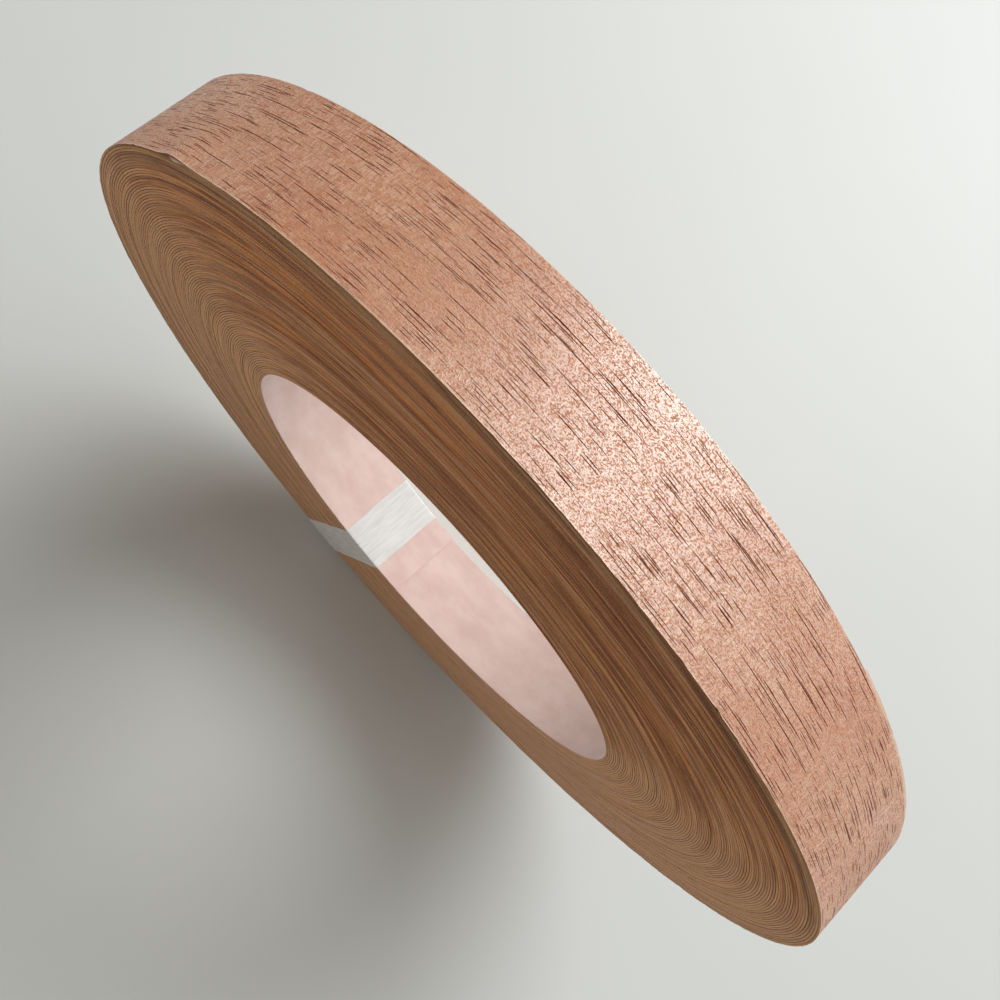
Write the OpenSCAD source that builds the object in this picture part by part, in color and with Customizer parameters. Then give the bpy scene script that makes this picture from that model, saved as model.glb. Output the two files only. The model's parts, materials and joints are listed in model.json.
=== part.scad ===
// Coreless roll of fleece-backed wood veneer edge banding, tied with one tape strap.
// The roll stands on its rim: its axis lies along Y and the lowest point of the rim is at z = 0.
//
// The strip is one long spiral. Places along it are given in turns, counted from its inner end, so
// 1.25 is a turn and a quarter outwards. Seen from the front (from -Y) it winds outwards clockwise.
// A half turn is an arc of a true circle, and the centres of the half turns lie alternately a quarter
// of the pitch to each side of the axis, which makes a smooth spiral of constant pitch.

/* [Strip] */
// Width of the strip, which is the width of the roll
strip_w = 22; // [15:0.5:40]
// Thickness of the wood
veneer_t = 0.4; // [0.3:0.02:0.7]
// Thickness of the fleece glued to the wood's inner face
fleece_t = 0.1; // [0.06:0.02:0.2]
// Air between one turn and the next
turn_gap = 0.02; // [0.02:0.01:0.06]

/* [Roll] */
// Diameter of the open bore
bore_d = 112.6; // [80:0.2:150]
// Whole turns from the inner end to the strap
whole_turns = 98; // [40:1:118]
// Where the strip's inner end lies, anticlockwise from +X seen from the front
inner_end_angle = -92; // [-100:1:-80]

/* [Veneer lengths] */
// Number of lengths of veneer that are joined end to end
lengths = 22; // [6:1:30]
// Wood between the outermost finger joint and the strap's far edge
outer_length = 160; // [60:5:240]
// Length of the fingers in a finger joint
finger_len = 10; // [6:1:14]
// Number of fingers across the strip
fingers = 5; // [3:1:7]

/* [Strap] */
// Width of the tape
strap_w = 14; // [8:0.5:18]
// Thickness of the tape
strap_t = 0.08; // [0.04:0.02:0.2]
// Where the strap goes round the roll, anticlockwise from +X seen from the front
strap_angle = -107.5; // [-125:0.5:-105]
// How far the tape's two ends lap over each other, on the back of the roll
strap_lap = 20; // [10:1:30]

/* [Loose end] */
// Length of the strip's free end beyond the strap
loose_len = 35; // [20:1:60]
// Bare strip between the strap's edge and the root of the free end
root_gap = 0.5; // [0.3:0.1:2]
// Slit at the root of the free end, where the bending strip is drawn as a hinge
hinge_slit = 0.05; // [0.04:0.01:0.2]

/* [Hidden] */
$fn = 120;
strip_t = veneer_t + fleece_t;
pitch = strip_t + turn_gap;
bore_r = bore_d / 2;

// Radius of the strip's inner face, and length of strip wound, at a place given in turns
function inner_r(turn) = bore_r + turn * pitch;
function wound_len(turn) = 2 * PI * turn * (inner_r(turn / 2) + strip_t / 2);
// The place, in turns, where a given length of strip has been wound
function turn_at(len) = let (r = bore_r + strip_t / 2) (sqrt(r * r + pitch * len / PI) - r) / pitch;
// Turns that an arc of a given length covers near a place
function turns_of(arc, turn) = arc / (2 * PI * inner_r(turn));

// Direction of a place from the axis, in the drawing of the spiral. It is rounded to a thousandth of a
// degree, so that an arc that is clipped at one end still meets the next half turn exactly.
function direction(turn, whole) = round(360 * (turn - whole) * 1000) / 1000;

// Places along the strip, in turns
strap_turn = whole_turns + (inner_end_angle - strap_angle) / 360;
root_turn = strap_turn + turns_of(strap_w / 2 + root_gap, strap_turn);
loose_turn = root_turn + turns_of(hinge_slit, root_turn);
tip_turn = loose_turn + turns_of(loose_len, root_turn);
foot_turn = whole_turns + (inner_end_angle + 90) / 360;
outer_joint_len = wound_len(root_turn) - outer_length;
function joint_turn(i) = turn_at(outer_joint_len * i / (lengths - 1));

// Height of the roll's axis above the point it stands on
axis_height = inner_r(foot_turn) + strip_t;
// How far a cutter runs past what it cuts
past = 1;
// Half turns that are joined to each other before they are joined to the rest of the spiral
run = 14;

function length_name(i) = str("veneer_length_", i < 10 ? "0" : "", i);

// The spiral is drawn lying flat, with its inner end on +X and winding outwards anticlockwise
module in_place() {
  translate([0, 0, axis_height])
    rotate([90, 0, 0])
      rotate([0, 0, inner_end_angle])
        mirror([0, 1, 0])
          children();
}

// Centre of a half turn
module at_centre(half) {
  translate([(half % 2 == 0 ? -1 : 1) * pitch / 4, 0, 0])
    children();
}

// The part of one half turn that lies between two places; depth is counted from the strip's inner face
module half_turn(half, from, to, depth, thickness) {
  whole = floor(half / 2);
  first = direction(max(from, half / 2), whole);
  last = direction(min(to, (half + 1) / 2), whole);
  at_centre(half)
    rotate_extrude(angle = last - first, start = first)
      translate([inner_r(half / 2) + depth, -strip_w / 2])
        square([thickness, strip_w]);
}

// One layer of the strip between two places
module layer(from, to, depth, thickness) {
  first = floor(2 * from);
  last = ceil(2 * to) - 1;
  for (start = [first : run : last])
    union()
      for (half = [start : min(start + run - 1, last)])
        half_turn(half, from, to, depth, thickness);
}

// All that lies beyond the zigzag line of a finger joint: outwards along the strip, or inwards at side -1
module beyond_joint(turn, side) {
  tooth_w = strip_w / fingers;
  zigzag = [
    for (corner = [0 : 2 * fingers + 1])
      [(corner % 2 - 0.5) * finger_len, (corner - 0.5) * tooth_w / 2 - strip_w / 2]
  ];
  far_edge = [for (corner = [2 * fingers + 1, 0]) [side * finger_len, zigzag[corner].y]];
  rotate([0, 0, direction(turn, floor(turn))])
    translate([inner_r(turn) - past, 0, 0])
      rotate([90, 0, 90])
        linear_extrude(strip_t + 2 * past)
          polygon(concat(zigzag, far_edge));
}

// One length of veneer, with half a finger joint at each end that meets another length
module veneer_length(i) {
  start = i == 1 ? 0 : joint_turn(i - 1);
  end = i == lengths ? root_turn : joint_turn(i);
  start_zone = i == 1 ? 0 : turns_of(finger_len / 2 + past, start);
  end_zone = i == lengths ? 0 : turns_of(finger_len / 2 + past, end);
  first = floor(2 * (start - start_zone));
  last = ceil(2 * (end + end_zone)) - 1;
  color(i % 3 == 0 ? "peru" : i % 3 == 1 ? "burlywood" : "tan")
    in_place()
      for (half = [first : last])
        difference() {
          half_turn(half, start - start_zone, end + end_zone, fleece_t, veneer_t);
          if (i > 1 && half <= 2 * (start + start_zone)) beyond_joint(start, -1);
          if (i < lengths && half >= 2 * (end - end_zone) - 1) beyond_joint(end, 1);
        }
}

// The fleece runs through the whole roll in one piece, and its first turn lines the bore
module fleece_backing() {
  color("mistyrose")
    in_place()
      layer(0, root_turn, 0, fleece_t);
}

module loose_end_veneer() {
  color("burlywood")
    in_place()
      layer(loose_turn, tip_turn, fleece_t, veneer_t);
}

module loose_end_fleece() {
  color("mistyrose")
    in_place()
      layer(loose_turn, tip_turn, 0, fleece_t);
}

// The tape goes round the roll's cross-section once, and its ends lap on the back
module strap() {
  half = floor(2 * strap_turn);
  outer_r = inner_r(half / 2) + strip_t;
  lap_r = (bore_r + outer_r - strap_lap) / 2;
  color("whitesmoke")
    in_place()
      union() {
        at_centre(half)
          intersection() {
            difference() {
              cylinder(r = outer_r + strap_t, h = strip_w + 2 * strap_t, center = true);
              cylinder(r = bore_r - strap_t, h = strip_w + 2 * past, center = true);
              difference() {
                cylinder(r = outer_r, h = strip_w, center = true);
                cylinder(r = bore_r, h = strip_w, center = true);
              }
            }
            rotate([0, 0, direction(strap_turn, floor(strap_turn))])
              translate([0, -strap_w / 2, -strip_w])
                cube([outer_r + past, strap_w, 2 * strip_w]);
          }
        rotate([0, 0, direction(strap_turn, floor(strap_turn))])
          translate([lap_r, -strap_w / 2, -strip_w / 2 - 2 * strap_t])
            cube([strap_lap, strap_w, strap_t]);
      }
}

for (i = [1 : lengths])
  veneer_length(i);
fleece_backing();
loose_end_veneer();
loose_end_fleece();
strap();
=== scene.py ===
"""Coreless roll of fleece-backed wood veneer edge banding, tied with one strap of pale tape.

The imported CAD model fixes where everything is. This script rebuilds the strip around it as one long
spiral with the small faults of a real roll: edges that wander and fray, turns that sit a little proud,
a spot where the outermost turn stands off the roll, and tape that creases where it turns a corner.

A place along the strip is given in turns from its inner end, as in the CAD. Lengths are in metres.
"""

import json
import math

import bpy
import numpy as np
from mathutils import Matrix, Vector


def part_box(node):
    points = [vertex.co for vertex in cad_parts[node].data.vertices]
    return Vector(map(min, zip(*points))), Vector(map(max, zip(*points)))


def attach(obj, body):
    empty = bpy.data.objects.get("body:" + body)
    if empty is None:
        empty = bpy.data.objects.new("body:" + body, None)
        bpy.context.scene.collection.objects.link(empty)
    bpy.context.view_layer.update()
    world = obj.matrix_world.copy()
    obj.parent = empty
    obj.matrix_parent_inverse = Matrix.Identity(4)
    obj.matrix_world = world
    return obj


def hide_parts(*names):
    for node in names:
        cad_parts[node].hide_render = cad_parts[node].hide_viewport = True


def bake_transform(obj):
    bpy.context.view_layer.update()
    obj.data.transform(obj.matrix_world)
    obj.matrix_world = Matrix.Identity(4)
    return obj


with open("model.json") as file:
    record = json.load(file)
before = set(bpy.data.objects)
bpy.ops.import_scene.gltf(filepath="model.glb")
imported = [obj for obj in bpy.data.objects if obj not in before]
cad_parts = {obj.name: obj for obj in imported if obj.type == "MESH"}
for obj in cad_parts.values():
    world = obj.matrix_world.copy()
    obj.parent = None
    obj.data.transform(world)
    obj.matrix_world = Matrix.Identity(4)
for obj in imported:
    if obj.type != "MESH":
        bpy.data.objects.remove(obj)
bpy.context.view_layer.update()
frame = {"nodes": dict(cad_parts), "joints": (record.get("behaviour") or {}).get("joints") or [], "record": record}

# ---------------------------------------------------------------- sizes

MM = 0.001
BORE = next(m for m in frame["record"]["mounts"] if m["name"] == "bore")
HINGE = next(j for j in frame["joints"] if j["name"] == "loose_end_lift")
LENGTHS = sorted(n for n in frame["nodes"] if n.startswith("veneer_length_"))

AXIS_HEIGHT = BORE["pos_m"][2]
BORE_R = BORE["dims"]["r_mm"] * MM
HALF_W = (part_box("fleece_backing")[1].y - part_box("fleece_backing")[0].y) / 2
VENEER_T = 0.4 * MM
FLEECE_T = 0.1 * MM
STRIP_T = VENEER_T + FLEECE_T
PITCH = STRIP_T + 0.02 * MM
WHOLE_TURNS = 98
INNER_END = math.radians(-92)

# The spiral's smooth middle line through the CAD's half turns
SPIRAL_R = BORE_R - PITCH / 4
MID_R = SPIRAL_R + STRIP_T / 2

STRAP_W = 14 * MM
STRAP_T = 0.08 * MM
STRAP_ANGLE = math.radians(-107.5)
STRAP_LAP = 20 * MM

OUTER_LENGTH = 160 * MM
LOOSE_LEN = 35 * MM
FINGER_LEN = 10 * MM
FINGERS = 5

COARSE = 240  # stations to a turn inside the roll
FINE = 960  # and on the turns whose face shows
FRONT_EDGE = -0.99  # places across the strip below this are its front edge, which is at -1


def turn_at_angle(angle, whole):
    """The place where the spiral passes an angle, after a number of whole turns."""
    return whole + ((INNER_END - angle) / math.tau) % 1


def turns_of(arc, turn):
    return arc / (math.tau * (SPIRAL_R + PITCH * turn))


def wound(turn):
    """Length of strip wound up to a place."""
    return math.tau * turn * (MID_R + PITCH * turn / 2)


def turn_of_length(length):
    return (np.sqrt(MID_R**2 + PITCH * length / math.pi) - MID_R) / PITCH


STRAP_TURN = turn_at_angle(STRAP_ANGLE, WHOLE_TURNS)
HINGE_ANGLE = math.atan2(HINGE["pos_m"][2] - AXIS_HEIGHT, HINGE["pos_m"][0])
ROOT_TURN = turn_at_angle(HINGE_ANGLE, WHOLE_TURNS)
TIP_TURN = ROOT_TURN + turns_of(LOOSE_LEN, ROOT_TURN)
# The held strip and the loose end meet under the strap, where the seam can't be seen
SEAM_TURN = STRAP_TURN + turns_of(STRAP_W / 4, STRAP_TURN)
# The outermost turn, with a little overlap where its two ends pass each other
OUTER_START = SEAM_TURN - 1.01
JOINTED_LEN = wound(ROOT_TURN) - OUTER_LENGTH
JOINTS = [turn_of_length(JOINTED_LEN * i / (len(LENGTHS) - 1)) for i in range(1, len(LENGTHS))]

# ---------------------------------------------------------------- small faults of a real roll

SEED = 22
NICKS = 26
rng = np.random.default_rng(SEED)


def wobble(step, size=1.0, knots=4096):
    """A smooth random curve with one knot every step, as a function."""
    value = rng.normal(0, size, knots)

    def curve(x):
        x = np.asarray(x, float) / step
        i = np.floor(x).astype(int)
        f = x - i
        f = f * f * (3 - 2 * f)
        return value[i % knots] * (1 - f) + value[(i + 1) % knots] * f

    return curve


def bump(x, centre, width):
    return np.exp(-(((x - centre) / width) ** 2))


slow_drift = wobble(2.7, 0.07 * MM)
quick_drift = wobble(0.31, 0.04 * MM)
fray_front = [wobble(0.9 * MM, 0.012 * MM), wobble(3.4 * MM, 0.02 * MM)]
fray_back = [wobble(1.1 * MM, 0.012 * MM), wobble(4.1 * MM, 0.02 * MM)]
swell = [wobble(17 * MM, 0.02 * MM), wobble(43 * MM, 0.03 * MM)]
nicks = np.sort(rng.uniform(0, wound(1 + WHOLE_TURNS) - wound(WHOLE_TURNS), NICKS))
nick_depth = rng.uniform(0.05, 0.2, NICKS) * MM
nick_side = rng.choice([-1, 1], NICKS)
NICK_HALF_LEN = 0.7 * MM

# The one spot where the outermost turn gapes, with the tuft of fleece that hangs out there
GAP_TURN = turn_at_angle(math.radians(131.7), WHOLE_TURNS - 1)
GAP_HEIGHT = 0.9 * MM
GAP_HALF_LEN = 4.5 * MM
GAP_REACH = 0.35  # how far across the strip it goes, where 0 is the middle
TUFT_OUT = 0.6 * MM
TUFT_HALF_LEN = 2.2 * MM
TUFT_PAST_GAP = 1.5 * MM

# The back edge stands out from a small step on, up to a notch
STEP_TURN = turn_at_angle(math.radians(61.8), WHOLE_TURNS - 1)
STEP_OUT = 0.35 * MM
NOTCH_TURN = turn_at_angle(math.radians(30.3), WHOLE_TURNS - 1)
NOTCH_DEPTH = 0.5 * MM
NOTCH_HALF_LEN = 1.2 * MM


def lift(turn, across):
    """How far the outermost turn stands off the roll. Its front edge gapes in one short spot."""
    near_front = np.clip(GAP_REACH - across, 0, 1 + GAP_REACH) / (1 + GAP_REACH)
    puff = sum(f(wound(turn)) for f in swell)
    gape = GAP_HEIGHT * bump(turn, GAP_TURN, turns_of(GAP_HALF_LEN, WHOLE_TURNS)) * near_front**1.6
    return gape + np.clip(puff, 0, None)


def edge_offset(turn, across):
    """Sideways place of the strip's edges against straight ones."""
    s = wound(turn)
    out = slow_drift(turn) + quick_drift(turn)
    outermost = np.clip((turn - OUTER_START) * 200, 0, 1)
    fray = np.where(across < 0, sum(f(s) for f in fray_front), sum(f(s) for f in fray_back))
    since = s - wound(OUTER_START)
    cut = sum(
        d * (across * side > -FRONT_EDGE) * bump(since, at, NICK_HALF_LEN) * -side
        for at, d, side in zip(nicks, nick_depth, nick_side)
    )
    back = np.clip(across, 0, 1) ** 4
    sharp_start = np.clip((turn - STEP_TURN) * 1200, 0, 1)
    slow_end = np.clip((NOTCH_TURN + 0.02 - turn) * 20, 0, 1)
    step = STEP_OUT * sharp_start * slow_end
    notch = -NOTCH_DEPTH * bump(turn, NOTCH_TURN, turns_of(NOTCH_HALF_LEN, WHOLE_TURNS))
    return out + outermost * (np.abs(across) ** 3 * fray + cut + back * (step + notch))


# ---------------------------------------------------------------- meshes


def place(turn, depth, y):
    """A point of the strip: depth is counted outwards from its inner face."""
    r = SPIRAL_R + PITCH * turn + depth
    angle = INNER_END - math.tau * turn
    return np.stack([r * np.cos(angle), y, AXIS_HEIGHT + r * np.sin(angle)], -1)


def mesh_object(name, points, faces, grain, turn=None, smooth_below=40):
    """A linked mesh. Its grain, in millimetres, and its turn are what the materials are drawn along."""
    mesh = bpy.data.meshes.new(name)
    mesh.from_pydata(points.tolist(), [], faces)
    attribute = mesh.attributes.new("grain", "FLOAT_VECTOR", "POINT")
    attribute.data.foreach_set("vector", grain.astype(np.float32).ravel())
    if turn is not None:
        attribute = mesh.attributes.new("turn", "FLOAT", "POINT")
        attribute.data.foreach_set("value", turn.astype(np.float32).ravel())
    mesh.shade_smooth()
    mesh.set_sharp_from_angle(angle=math.radians(smooth_below))
    mesh.update()
    obj = bpy.data.objects.new(name, mesh)
    bpy.context.scene.collection.objects.link(obj)
    return obj


def ring_faces(rings, per_ring, first=0):
    """Quads between neighbouring rings of a closed tube."""
    i, j = np.meshgrid(np.arange(rings - 1), np.arange(per_ring), indexing="ij")
    a, b = i * per_ring + j, i * per_ring + (j + 1) % per_ring
    quads = np.stack([a, b, b + per_ring, a + per_ring], -1).reshape(-1, 4) + first
    return quads.tolist()


def cap_faces(ring, flip):
    """A tube's end, closed by quads between the outer and the inner row of its last ring."""
    k = len(ring) // 2
    quads = [[ring[j], ring[j + 1], ring[2 * k - 2 - j], ring[2 * k - 1 - j]] for j in range(k - 1)]
    return [q[::-1] for q in quads] if flip else quads


def bridge_faces(a, b):
    """Faces between two rings with different numbers of columns."""
    ka, kb = len(a) // 2, len(b) // 2
    outer = list(a[:ka]) + list(b[:kb])[::-1]
    inner = list(a[ka:]) + list(b[kb:])[::-1]
    front = [a[-1], a[0], b[0], b[-1]]
    back = [a[ka - 1], a[ka], b[kb], b[kb - 1]]
    return [outer, inner, front, back]


def tuft(turn, across):
    """Fleece that has come loose in the gape and hangs out at the front."""
    centre = GAP_TURN + turns_of(TUFT_PAST_GAP, WHOLE_TURNS)
    half_len = turns_of(TUFT_HALF_LEN, WHOLE_TURNS)
    return -TUFT_OUT * bump(turn, centre, half_len) * (across < FRONT_EDGE)


# How far apart the grain of two pieces lies, in millimetres through the wood
GRAIN_SHIFT = 10


def band(name, sections, inner, outer, seed, inset=0.0):
    """A closed band of one layer of the strip. A section is (turns, columns): a grid of places with a
    row for each station and a column for each place across, from -1 at the front edge to 1 at the back.
    Only the fleece has an inset, which keeps its edges behind the wood's."""
    points, grain, places, faces, ends = [], [], [], [], []
    count = 0
    start = wound(sections[0][0].min())
    for turns, columns in sections:
        k = len(columns)
        across = np.broadcast_to(columns, turns.shape)
        y = across * (HALF_W - inset) + edge_offset(turns, across)
        if inset > 0:
            y = y + tuft(turns, across)
        shift = lift(turns, across) * (turns > OUTER_START)
        rows = [(outer, slice(None)), (inner, slice(None, None, -1))]
        ring = [place(turns, depth + shift, y)[:, order] for depth, order in rows]
        along = [
            np.stack([wound(turns) - start, y, np.full(turns.shape, depth)], -1)[:, order] / MM
            for depth, order in rows
        ]
        points.append(np.concatenate(ring, 1).reshape(-1, 3))
        grain.append(np.concatenate(along, 1).reshape(-1, 3) + [0, 0, GRAIN_SHIFT * seed])
        places.append(np.concatenate([turns, turns[:, ::-1]], 1).ravel())
        faces += ring_faces(len(turns), 2 * k, count)
        first = list(range(count, count + 2 * k))
        count += len(turns) * 2 * k
        last = list(range(count - 2 * k, count))
        if ends:
            faces += bridge_faces(ends[-1], first)
            ends.append(last)
        else:
            ends = [first, last]
    faces += cap_faces(ends[0], True) + cap_faces(ends[-1], False)
    return mesh_object(name, np.concatenate(points), faces, np.concatenate(grain), np.concatenate(places))


# Places across the strip: its two edges, a finger joint's corners, and more where edges show
TWO_COLUMNS = np.array([-1.0, 1.0])
FINGER_COLUMNS = np.linspace(-1, 1, 2 * FINGERS + 1)
SURFACE_COLUMNS = np.unique(np.concatenate([FINGER_COLUMNS, [-0.97, -0.9, 0.9, 0.97]]))


def finger_line(turn, columns):
    """Places of a finger joint's zigzag line, one for each column."""
    corners = np.arange(2 * FINGERS + 1) % 2 - 0.5
    return turn + turns_of(FINGER_LEN, turn) * np.interp(columns, FINGER_COLUMNS, corners)


def straight(first, last, per_turn, columns):
    """The stretch between two straight lines across the strip."""
    stations = np.linspace(first, last, max(2, round((last - first) * per_turn) + 1))
    return np.repeat(stations[:, None], len(columns), 1), columns


def fingers(start, end_line, columns, rows=6):
    """The stretch between a straight line across the strip and a finger joint's zigzag line."""
    share = np.linspace(0, 1, rows)[:, None]
    return start + (end_line[None, :] - start) * share, columns


def veneer_sections(first, last, per_turn, columns, first_joint=True, last_joint=True):
    """A length of veneer: a straight stretch, with fingers at each end that is jointed."""
    zone = turns_of(FINGER_LEN / 2 + 1.5 * MM, first)
    sections = []
    end_columns = FINGER_COLUMNS if len(columns) == 2 else columns
    if first_joint:
        turns, c = fingers(first + zone, finger_line(first, end_columns), end_columns)
        sections.append((turns[::-1], c))
        first += zone
    stop = last - zone if last_joint else last
    middle = straight(first, stop, per_turn, columns)
    if len(columns) > 2 and sections:
        middle = (middle[0][1:], columns)
    sections.append(middle)
    if last_joint:
        turns, c = fingers(stop, finger_line(last, end_columns), end_columns)
        sections.append((turns[1:] if len(columns) > 2 else turns, c))
    return sections


# ---------------------------------------------------------------- materials


def add(tree, kind, inputs=None, **settings):
    """A shader node. An input is either another node's socket or a plain value."""
    node = tree.nodes.new("ShaderNode" + kind)
    for key, value in settings.items():
        setattr(node, key, value)
    for key, value in (inputs or {}).items():
        socket = node.inputs[key]
        if isinstance(value, bpy.types.NodeSocket):
            tree.links.new(value, socket)
        else:
            socket.default_value = value
    return node


def calc(tree, operation, a, b=0.0, c=0.0):
    return add(tree, "Math", {0: a, 1: b, 2: c}, operation=operation).outputs[0]


def remap(tree, value, low, high, to_low=0.0, to_high=1.0, smooth=True):
    kind = "SMOOTHSTEP" if smooth else "LINEAR"
    inputs = {"Value": value, "From Min": low, "From Max": high, "To Min": to_low, "To Max": to_high}
    return add(tree, "MapRange", inputs, interpolation_type=kind).outputs[0]


def mixed(tree, factor, a, b):
    """A colour mix. Colours are sockets or plain (r, g, b)."""
    sockets = [x if isinstance(x, bpy.types.NodeSocket) else (*x, 1.0) for x in (a, b)]
    inputs = {0: factor, 6: sockets[0], 7: sockets[1]}
    return add(tree, "Mix", inputs, data_type="RGBA").outputs[2]


def principled(name):
    """A new material, its node tree and its shader."""
    material = bpy.data.materials.new(name)
    material.use_nodes = True
    return material, material.node_tree, material.node_tree.nodes["Principled BSDF"]


def grain_position(tree):
    """Millimetres along the strip, across it, and through its thickness."""
    vector = add(tree, "Attribute", attribute_name="grain").outputs["Vector"]
    xyz = add(tree, "SeparateXYZ", {0: vector})
    return vector, xyz.outputs


def cloud(tree, vector, size, detail=2.0, roughness=0.5):
    """Noise between 0 and 1 with blobs of a size given along, across and through, in millimetres."""
    scaled = add(tree, "VectorMath", {0: vector, 1: [1 / x for x in size]}, operation="MULTIPLY")
    inputs = {"Vector": scaled.outputs[0], "Scale": 1.0, "Detail": detail, "Roughness": roughness}
    return add(tree, "TexNoise", inputs).outputs["Fac"]


def marks(tree, along, across, length, width, size):
    """Thin marks along the strip, one in each cell of length x width, with its size as a share of that."""
    place_in = add(tree, "CombineXYZ", {
        0: calc(tree, "DIVIDE", along, length),
        1: calc(tree, "DIVIDE", across, width),
    }).outputs[0]
    cells = add(tree, "TexVoronoi", {"Vector": place_in, "Scale": 1.0}, voronoi_dimensions="2D")
    pick = add(tree, "SeparateColor", {0: cells.outputs["Color"]}).outputs[0]
    reach = remap(tree, pick, 0.0, 1.0, 0.25 * size, 1.2 * size, smooth=False)
    return remap(tree, calc(tree, "DIVIDE", cells.outputs["Distance"], reach), 0.55, 1.0, 1.0, 0.0)


# A radius about halfway between the bore and the rim, in millimetres
MIDDLE_R = 80


def cloud_round_the_roll(tree, turn, length, turns, detail):
    """Noise that runs round the roll, with patches of a length (mm) and a number of turns."""
    angle = calc(tree, "MULTIPLY", turn, math.tau)
    r = MIDDLE_R / length
    around = [calc(tree, "MULTIPLY", calc(tree, wave, angle), r) for wave in ("COSINE", "SINE")]
    vector = add(tree, "CombineXYZ", {
        0: around[0],
        1: around[1],
        2: calc(tree, "DIVIDE", turn, turns),
    }).outputs[0]
    return cloud(tree, vector, (1, 1, 1), detail)


def on_the_sides(tree):
    """1 on the roll's two sides, where the strip's cut edges show, and 0 on its faces."""
    normal = add(tree, "SeparateXYZ", {0: add(tree, "NewGeometry").outputs["Normal"]}).outputs[1]
    return remap(tree, calc(tree, "ABSOLUTE", normal), 0.6, 0.95)


EDGE_ORANGE = (0.74, 0.295, 0.09)
EDGE_BROWN = (0.75, 0.37, 0.165)
# A lighter, greyer tone painted on the cut edge as sheen, away from the top of the roll
EDGE_PAINTED_SHEEN = (0.69, 0.405, 0.225)
EDGE_OLIVE = (0.54, 0.31, 0.14)
# Dark lines on the cut edges: glue, and painted shade of the gaps between turns
GAP_SHADE_AND_GLUE = (0.15, 0.033, 0.009)
# The angle of the top of the roll, where the cut edge is crispest and has no painted sheen
ROLL_TOP_ANGLE = math.radians(91)
# The outermost turns have gone olive between these places
OLIVE_FROM, OLIVE_TO = 90.5, 93.5


def cut_edge_colour(tree, vector, turn):
    """Turns that were cut and squeezed together: bands a few turns wide, and dark lines along them, which are glue
    and painted shade of the gaps between turns. They are crisp at the top of the roll; away from it they are
    painted lighter and greyer, as sheen, and their lines fade."""
    from_roll_top = calc(tree, "MULTIPLY_ADD", turn, math.tau, ROLL_TOP_ANGLE - INNER_END)
    near_roll_top = remap(tree, calc(tree, "COSINE", from_roll_top), 0.3, 0.95)
    bands = remap(tree, cloud_round_the_roll(tree, turn, 90, 4, 3.0), 0.4, 0.6)
    lines = remap(tree, cloud_round_the_roll(tree, turn, 45, 0.7, 2.0), 0.5, 0.64)
    fine = remap(tree, cloud(tree, vector, (9, 0.5, 0.13), 3.0, 0.65), 0.4, 0.66)
    single = remap(tree, cloud(tree, vector, (28, 30, 30), 2.0), 0.42, 0.62)
    colour = mixed(tree, bands, EDGE_ORANGE, EDGE_BROWN)
    colour = mixed(tree, remap(tree, turn, OLIVE_FROM, OLIVE_TO), colour, EDGE_OLIVE)
    # Painted sheen: away from the top of the roll the cut edge is painted lighter and greyer
    colour = mixed(tree, remap(tree, near_roll_top, 0.0, 1.0, 0.8, 0.0, smooth=False), colour, EDGE_PAINTED_SHEEN)
    strength = remap(tree, near_roll_top, 0.0, 1.0, 0.16, 1.0, smooth=False)
    # Dark lines along the turns: glue, and painted shade of the gaps between them, weaker away from the top
    for mask, share in ((single, 0.7), (lines, 0.7), (fine, 0.4)):
        factor = calc(tree, "MULTIPLY", calc(tree, "MULTIPLY", mask, share), strength)
        colour = mixed(tree, factor, colour, GAP_SHADE_AND_GLUE)
    return colour


WOOD_DARK = (0.505, 0.207, 0.10)
WOOD_PALE = (0.58, 0.265, 0.14)
WOOD_RED = (0.49, 0.17, 0.076)
WOOD_STREAK = (0.40, 0.135, 0.06)
WOOD_FIBRE = (0.80, 0.47, 0.30)
WOOD_RIPPLE = (0.86, 0.56, 0.40)
WOOD_FLECK = (0.33, 0.09, 0.04)
WOOD_PORE = (0.09, 0.012, 0.004)
TORN_FIBRE = (0.80, 0.60, 0.46)
WOOD_ROUGHNESS = 0.42
WOOD_IOR = 2.0
LEAST_GLOSS = 0.04
# Millimetres from the middle of the strip at which the torn fibres of its edges begin and are full
TORN_FROM, TORN_TO = 10.75, 10.95


def wood_tones(tree, vector, fibre):
    """The plain wood: slow changes of tone, redder patches, dark streaks and fine pale fibres."""
    tone = cloud(tree, vector, (170, 45, 9), 2.0)
    patch = cloud(tree, vector, (26, 13, 9), 2.0)
    streak = cloud(tree, vector, (40, 0.9, 0.7), 3.0, 0.6)
    colour = mixed(tree, remap(tree, tone, 0.3, 0.7), WOOD_DARK, WOOD_PALE)
    colour = mixed(tree, remap(tree, patch, 0.46, 0.72, 0.0, 0.6), colour, WOOD_RED)
    colour = mixed(tree, remap(tree, streak, 0.4, 0.75, 0.0, 0.4), colour, WOOD_STREAK)
    return mixed(tree, remap(tree, fibre, 0.42, 0.7, 0.0, 0.55), colour, WOOD_FIBRE)


def wood_ripples(tree, vector, along, across, depth):
    """Silky ripples across the grain, which come and go in zones."""
    ripple_at = add(tree, "CombineXYZ", {
        0: calc(tree, "MULTIPLY_ADD", cloud(tree, vector, (4, 2.2, 20), 1.0), 1.4, along),
        1: across,
        2: depth,
    }).outputs[0]
    ripple = remap(tree, cloud(tree, ripple_at, (0.3, 1.3, 1.0), 2.0, 0.6), 0.46, 0.62)
    zone = remap(tree, cloud(tree, vector, (42, 11, 30), 1.0), 0.34, 0.56)
    return calc(tree, "MULTIPLY", ripple, zone)


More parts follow.
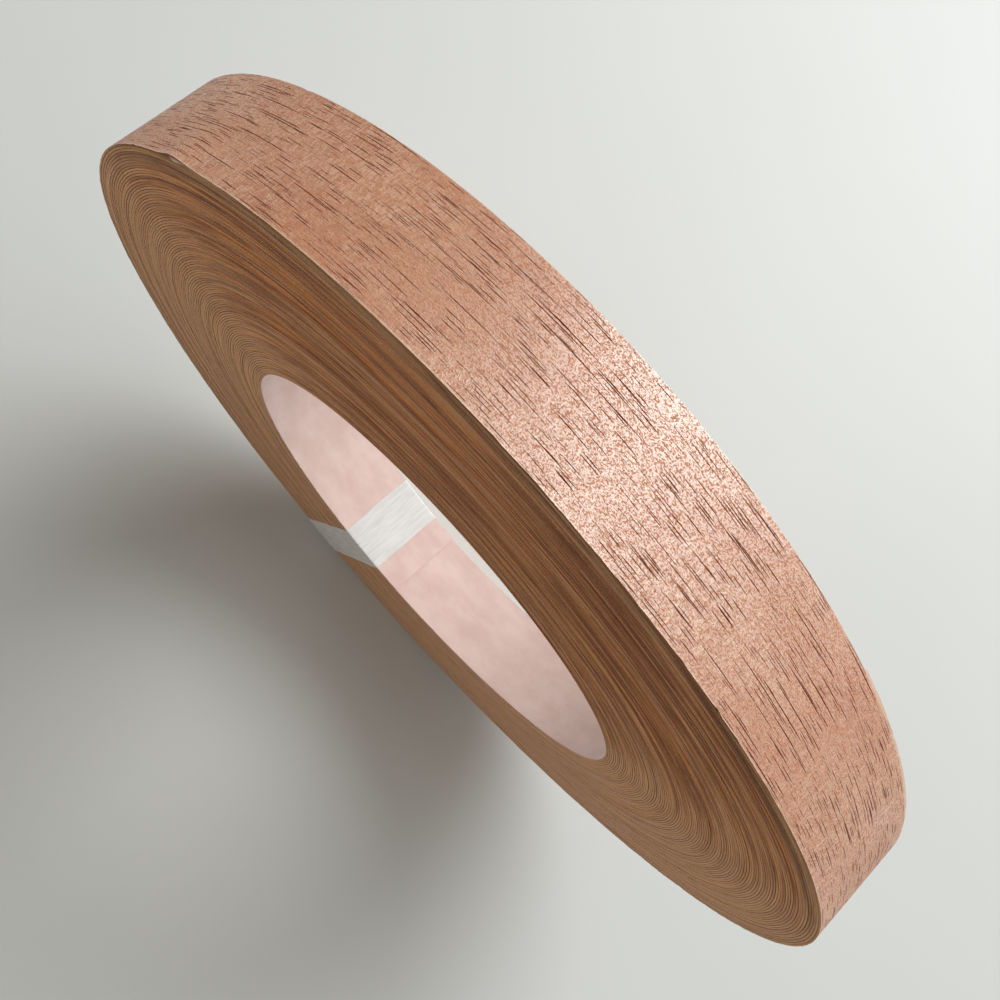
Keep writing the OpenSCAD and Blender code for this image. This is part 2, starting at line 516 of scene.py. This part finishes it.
def wood_pores(tree, vector, along, across, depth):
    """Long, middling and short dark pores, on lines that meander a little across the strip."""
    meander = calc(tree, "MULTIPLY_ADD", cloud(tree, vector, (60, 30, 40), 1.0), 1.5, across)
    line = calc(tree, "MULTIPLY_ADD", depth, 1.3, meander)
    long_marks = marks(tree, along, line, 60.0, 0.75, 0.12)
    middle_marks = marks(tree, calc(tree, "ADD", along, 4.0), line, 26.0, 0.5, 0.16)
    short_marks = marks(tree, along, calc(tree, "ADD", line, 0.6), 13.0, 0.42, 0.18)
    return calc(tree, "MAXIMUM", long_marks, calc(tree, "MAXIMUM", middle_marks, short_marks))


def veneer_material():
    """Sliced wood: long dark pores along the strip, silky ripples across it, and a browner cut edge."""
    material, tree, shader = principled("veneer")
    vector, (along, across, depth) = grain_position(tree)
    turn = add(tree, "Attribute", attribute_name="turn").outputs["Fac"]
    fibre = cloud(tree, vector, (1.0, 0.15, 0.15), 2.0, 0.6)
    ripple = wood_ripples(tree, vector, along, across, depth)
    fleck = remap(tree, cloud(tree, vector, (0.26, 0.17, 1.0), 0.0), 0.48, 0.6)
    pores = wood_pores(tree, vector, along, across, depth)
    torn = remap(tree, calc(tree, "ABSOLUTE", across), TORN_FROM, TORN_TO)
    edge = on_the_sides(tree)

    colour = wood_tones(tree, vector, fibre)
    colour = mixed(tree, calc(tree, "MULTIPLY", ripple, 0.5), colour, WOOD_RIPPLE)
    colour = mixed(tree, calc(tree, "MULTIPLY", fleck, 0.28), colour, WOOD_FLECK)
    colour = mixed(tree, pores, colour, WOOD_PORE)
    colour = mixed(tree, calc(tree, "MULTIPLY", torn, 0.5), colour, TORN_FIBRE)
    colour = mixed(tree, edge, colour, cut_edge_colour(tree, vector, turn))

    # Flecks, pores and the cut edge are dull, and ripples shine
    rough = calc(tree, "MULTIPLY_ADD", fleck, 0.3, WOOD_ROUGHNESS)
    rough = calc(tree, "MULTIPLY_ADD", pores, 0.4, rough)
    rough = calc(tree, "MULTIPLY_ADD", ripple, -0.08, rough)
    rough = calc(tree, "MINIMUM", calc(tree, "MULTIPLY_ADD", edge, 0.35, rough), 1.0)
    gloss = calc(tree, "MULTIPLY_ADD", fleck, -0.8, 1.0)
    gloss = calc(tree, "MULTIPLY_ADD", pores, -1.0, gloss)
    gloss = calc(tree, "MAXIMUM", calc(tree, "MULTIPLY_ADD", edge, -1.0, gloss), LEAST_GLOSS)
    # Fibres and ripples stand up, and pores and flecks are sunk
    height = calc(tree, "MULTIPLY_ADD", pores, -1.0, calc(tree, "MULTIPLY", fibre, 0.3))
    height = calc(tree, "MULTIPLY_ADD", fleck, -0.3, height)
    height = calc(tree, "MULTIPLY_ADD", ripple, 0.35, height)
    relief = add(tree, "Bump", {"Height": height, "Strength": 0.6, "Distance": 0.00006})
    tree.links.new(colour, shader.inputs["Base Color"])
    tree.links.new(rough, shader.inputs["Roughness"])
    tree.links.new(gloss, shader.inputs["Specular IOR Level"])
    shader.inputs["IOR"].default_value = WOOD_IOR
    tree.links.new(relief.outputs[0], shader.inputs["Normal"])
    return material


FLEECE_PINK = (0.64, 0.435, 0.385)
FLEECE_PALE = (0.73, 0.54, 0.49)
FLEECE_FIBRE = (0.76, 0.66, 0.63)


def fleece_material():
    """Pale pink fleece with cloudy patches and fine fibres. Its cut edges are painted dark, as glue and as painted
    shade of the gaps between turns.
    """
    material, tree, shader = principled("fleece")
    vector, _ = grain_position(tree)
    clouds = cloud(tree, vector, (11, 6, 5), 4.0, 0.6)
    fibres = cloud(tree, vector, (0.5, 0.12, 0.3), 3.0, 0.7)
    colour = mixed(tree, remap(tree, clouds, 0.3, 0.7), FLEECE_PINK, FLEECE_PALE)
    colour = mixed(tree, remap(tree, fibres, 0.35, 0.8, 0.0, 0.35), colour, FLEECE_FIBRE)
    # The cut edges: glue, and painted shade of the gaps between turns
    colour = mixed(tree, on_the_sides(tree), colour, GAP_SHADE_AND_GLUE)
    relief = add(tree, "Bump", {"Height": fibres, "Strength": 0.3, "Distance": 0.00005})
    tree.links.new(colour, shader.inputs["Base Color"])
    tree.links.new(relief.outputs[0], shader.inputs["Normal"])
    shader.inputs["Roughness"].default_value = 0.85
    shader.inputs["Sheen Weight"].default_value = 0.15
    return material


TAPE_GREY = (0.80, 0.785, 0.76)
TAPE_WHITE = (0.86, 0.85, 0.83)


def tape_material():
    """Pale tape with streaks along it, which lets a little of the wood show through."""
    material, tree, shader = principled("strap_tape")
    vector, _ = grain_position(tree)
    streaks = cloud(tree, vector, (9, 0.9, 5), 3.0, 0.6)
    blotches = cloud(tree, vector, (3.2, 2.4, 3), 3.0, 0.6)
    colour = mixed(tree, remap(tree, streaks, 0.3, 0.7), TAPE_GREY, TAPE_WHITE)
    relief = add(tree, "Bump", {"Height": blotches, "Strength": 0.25, "Distance": 0.0001})
    rough = remap(tree, blotches, 0.3, 0.7, 0.34, 0.55)
    tree.links.new(colour, shader.inputs["Base Color"])
    tree.links.new(rough, shader.inputs["Roughness"])
    tree.links.new(remap(tree, streaks, 0.3, 0.7, 0.66, 0.76), shader.inputs["Alpha"])
    tree.links.new(relief.outputs[0], shader.inputs["Normal"])
    return material


FLOOR_GREY = (0.58, 0.59, 0.575)
FLOOR_PALE = (0.61, 0.62, 0.605)


def floor_material():
    """A plain pale floor, hardly clouded."""
    material, tree, shader = principled("floor")
    position = add(tree, "TexCoord").outputs["Object"]
    inputs = {"Vector": position, "Scale": 9.0, "Detail": 3.0}
    tint = add(tree, "TexNoise", inputs).outputs["Fac"]
    colour = mixed(tree, tint, FLOOR_GREY, FLOOR_PALE)
    tree.links.new(colour, shader.inputs["Base Color"])
    shader.inputs["Roughness"].default_value = 0.55
    shader.inputs["Specular IOR Level"].default_value = 0.3
    return material


VENEER = veneer_material()
FLEECE = fleece_material()
TAPE = tape_material()


def finish_piece(obj, material, node, body="roll"):
    """The piece's material, slot and CAD node. A piece without a body is left unattached."""
    obj.data.materials.append(material)
    if body is not None:
        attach(obj, body)
    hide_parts(node)


# ---------------------------------------------------------------- the strip


def veneer_piece(name, first, last, seed, node, columns=TWO_COLUMNS, per_turn=COARSE, joints=(True, True)):
    sections = veneer_sections(first, last, per_turn, columns, *joints)
    piece = band(name, sections, FLEECE_T, STRIP_T, seed)
    finish_piece(piece, VENEER, node)


def build_veneer():
    """Each length of veneer. The outermost turn is finer, and the length that runs into it is cut there."""
    limits = [0.0, *JOINTS, SEAM_TURN]
    for i, node in enumerate(LENGTHS):
        first, last = limits[i], limits[i + 1]
        has_joints = (i > 0, i < len(LENGTHS) - 1)
        if first > OUTER_START:
            veneer_piece(node + ".strip", first, last, i, node, SURFACE_COLUMNS, FINE, has_joints)
        elif last > OUTER_START:
            veneer_piece(node + ".strip", first, OUTER_START, i, node, joints=(True, False))
            veneer_piece(node + ".face", OUTER_START, last, i, node, SURFACE_COLUMNS, FINE, (False, True))
        else:
            veneer_piece(node + ".strip", first, last, i, node, joints=has_joints)


FLEECE_INSET = 0.12 * MM
FLEECE_SEED = 60


def build_fleece():
    """The fleece of the bore, which shows its face, of the turns between, and of the outermost turn."""
    for name, first, last, per_turn, columns in (
        ("fleece.lining", 0.0, 1.0, FINE, SURFACE_COLUMNS),
        ("fleece.backing", 1.0, OUTER_START, COARSE, TWO_COLUMNS),
        ("fleece.outer_turn", OUTER_START, SEAM_TURN, FINE, SURFACE_COLUMNS),
    ):
        section = straight(first, last, per_turn, columns)
        piece = band(name, [section], 0, FLEECE_T, FLEECE_SEED, FLEECE_INSET)
        finish_piece(piece, FLEECE, "fleece_backing")


def build_loose_end():
    """The strip's free end, wood and fleece. Its grain runs on from the last length of veneer."""
    for name, node, inner, outer, material, slot, inset in (
        ("loose_end.veneer", "loose_end_veneer", FLEECE_T, STRIP_T, VENEER, "veneer", 0.0),
        ("loose_end.fleece", "loose_end_fleece", 0, FLEECE_T, FLEECE, "fleece", FLEECE_INSET),
    ):
        section = straight(SEAM_TURN, TIP_TURN, FINE, SURFACE_COLUMNS)
        piece = band(name, [section], inner, outer, len(LENGTHS) - 1, inset)
        finish_piece(piece, material, node, body=None)
        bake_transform(piece)


build_veneer()
build_fleece()
build_loose_end()

# ---------------------------------------------------------------- the strap


# Air between the tape and the strip's faces, and between it and the edges, which wander
STRAP_CLEAR = 0.03 * MM
STRAP_SIDE_CLEAR = 0.12 * MM


def strap_path():
    """Corners of the tape's way round the roll's section, as (radius, y): from its first end on the back,
    through the bore to the front, out along the front, over the rim, and in along the back to its lap."""
    inner = SPIRAL_R + PITCH * (STRAP_TURN % 1) - STRAP_CLEAR
    outer = SPIRAL_R + PITCH * STRAP_TURN + STRIP_T + STRAP_CLEAR
    face = HALF_W + STRAP_SIDE_CLEAR
    over_lap = face + STRAP_T + STRAP_CLEAR
    middle = (inner + outer) / 2
    return [
        (middle + STRAP_LAP / 2, face),
        (inner, face),
        (inner, -face),
        (outer, -face),
        (outer, over_lap),
        (middle - STRAP_LAP / 2, over_lap),
    ]


def rounded(corners, radius, step):
    """Points along a line through the corners, each corner turned on a small arc."""
    points = []
    corners = [np.array(c, float) for c in corners]
    for i, corner in enumerate(corners):
        if i in (0, len(corners) - 1):
            points.append(corner)
            continue
        before = (corners[i - 1] - corner) / np.linalg.norm(corners[i - 1] - corner)
        after = (corners[i + 1] - corner) / np.linalg.norm(corners[i + 1] - corner)
        for share in np.linspace(0, 1, 5):
            points.append(corner + radius * (before * (1 - share) ** 2 + after * share**2))
    dense = [points[0]]
    for a, b in zip(points, points[1:]):
        parts = max(1, math.ceil(np.linalg.norm(b - a) / step))
        dense += [a + (b - a) * k / parts for k in range(1, parts + 1)]
    return np.array(dense)


def build_strap():
    """The tape: its path swept across its width, with wavy edges and small puckers."""
    path = rounded(strap_path(), 0.3 * MM, 0.8 * MM)
    tangent = np.gradient(path, axis=0)
    tangent /= np.linalg.norm(tangent, axis=1)[:, None]
    normal = np.stack([tangent[:, 1], -tangent[:, 0]], -1)
    along = np.concatenate([[0], np.cumsum(np.linalg.norm(np.diff(path, axis=0), axis=1))])
    across = np.linspace(-1, 1, 15)
    wave = [wobble(3 * MM, 0.05 * MM), wobble(8 * MM, 0.12 * MM)]
    pucker = [wobble(2.2 * MM, 1.0), wobble(0.35, 1.0)]
    t, u = np.meshgrid(along, across, indexing="ij")
    sideways = u * STRAP_W / 2 + np.sign(u) * np.abs(u) ** 3 * sum(f(t + (u > 0) * 0.05) for f in wave)
    crease = 0.02 * MM * (1 + pucker[0](t) * pucker[1](u))
    ring, grain = [], []
    for thickness, order in ((STRAP_T, slice(None)), (0.0, slice(None, None, -1))):
        push = (np.clip(crease, 0, 0.08 * MM) + thickness)[..., None] * normal[:, None, :]
        r, y = (path[:, None, :] + push).transpose(2, 0, 1)
        out = np.sqrt(r**2 - sideways**2)
        c, s = math.cos(STRAP_ANGLE), math.sin(STRAP_ANGLE)
        x = out * c + sideways * s
        z = AXIS_HEIGHT + out * s - sideways * c
        ring.append(np.stack([x, y, z], -1)[:, order])
        grain.append(np.stack([t, sideways, np.full(t.shape, thickness)], -1)[:, order] / MM)
    points = np.concatenate(ring, 1).reshape(-1, 3)
    per_ring = 2 * len(across)
    faces = ring_faces(len(along), per_ring)
    first = list(range(per_ring))
    last = list(range(len(points) - per_ring, len(points)))
    faces += cap_faces(first, True) + cap_faces(last, False)
    strap = mesh_object("strap_tape", points, faces, np.concatenate(grain, 1).reshape(-1, 3))
    finish_piece(strap, TAPE, "strap")


build_strap()

# ---------------------------------------------------------------- floor, light and camera


def build_floor(size=6.0, cells=24):
    """A flat square under the roll."""
    i, j = np.meshgrid(np.arange(cells + 1), np.arange(cells + 1), indexing="ij")
    points = np.stack([(i / cells - 0.5) * size, (j / cells - 0.5) * size, 0 * i], -1).reshape(-1, 3)
    k = (np.arange(cells)[:, None] * (cells + 1) + np.arange(cells)[None, :]).ravel()
    faces = np.stack([k, k + cells + 1, k + cells + 2, k + 1], -1).tolist()
    floor = mesh_object("floor", points, faces, points)
    floor.data.materials.append(floor_material())


def area_light(name, toward, distance, size, power, colour):
    """A soft round light, a distance from the roll in a direction. It isn't seen itself."""
    data = bpy.data.lights.new(name, "AREA")
    data.shape = "DISK"
    data.size = size
    data.energy = power
    data.color = colour
    light = bpy.data.objects.new(name, data)
    bpy.context.scene.collection.objects.link(light)
    direction = Vector(toward).normalized()
    light.location = Vector((0, 0, AXIS_HEIGHT)) + direction * distance
    light.rotation_mode = "QUATERNION"
    light.rotation_quaternion = direction.to_track_quat("Z", "Y")
    light.visible_camera = False


# Name, direction from the roll, distance, size, power and colour
LIGHTS = (
    ("window", (0.06, 0.76, 0.65), 1.4, 1.1, 19.0, (0.98, 1.0, 1.0)),
    ("ceiling", (0.26, 0.42, 0.87), 1.5, 1.4, 8.0, (0.95, 0.99, 1.0)),
    ("wall", (0.68, 0.68, 0.27), 1.5, 1.3, 5.5, (0.96, 0.99, 1.0)),
    ("room", (-0.5, -0.8, 0.5), 1.6, 1.6, 6.5, (1.0, 0.95, 0.88)),
)
WORLD_COLOUR = (1.0, 0.93, 0.84, 1)
WORLD_STRENGTH = 0.15


def build_light():
    """Soft daylight from behind and above, with a weaker and warmer room in front."""
    for light in LIGHTS:
        area_light(*light)
    world = bpy.data.worlds.new("soft_room")
    world.use_nodes = True
    background = world.node_tree.nodes["Background"]
    background.inputs["Color"].default_value = WORLD_COLOUR
    background.inputs["Strength"].default_value = WORLD_STRENGTH
    bpy.context.scene.world = world


LENS = 35.3
CAMERA_AT = (-0.56, -47.55, 221.96)  # millimetres from the roll's middle
CAMERA_RIGHT = (0.6652, 0.7202, 0.1970)
CAMERA_FORWARD = (-0.0028, 0.2663, -0.9639)


def build_camera():
    """It looks down at the standing roll from close above its rim, a little in front of its face."""
    data = bpy.data.cameras.new("camera")
    data.lens = LENS
    data.sensor_width = 36
    camera = bpy.data.objects.new("camera", data)
    bpy.context.scene.collection.objects.link(camera)
    right = Vector(CAMERA_RIGHT).normalized()
    forward = Vector(CAMERA_FORWARD)
    back = -(forward - right * forward.dot(right)).normalized()
    up = back.cross(right)
    turned = Matrix((right, up, back)).transposed()
    place_at = Vector(CAMERA_AT) * MM + Vector((0, 0, AXIS_HEIGHT))
    camera.matrix_world = Matrix.Translation(place_at) @ turned.to_4x4()
    data.clip_start = 0.01
    bpy.context.scene.camera = camera
    bpy.context.scene.view_settings.view_transform = "Standard"


build_floor()
build_light()
build_camera()
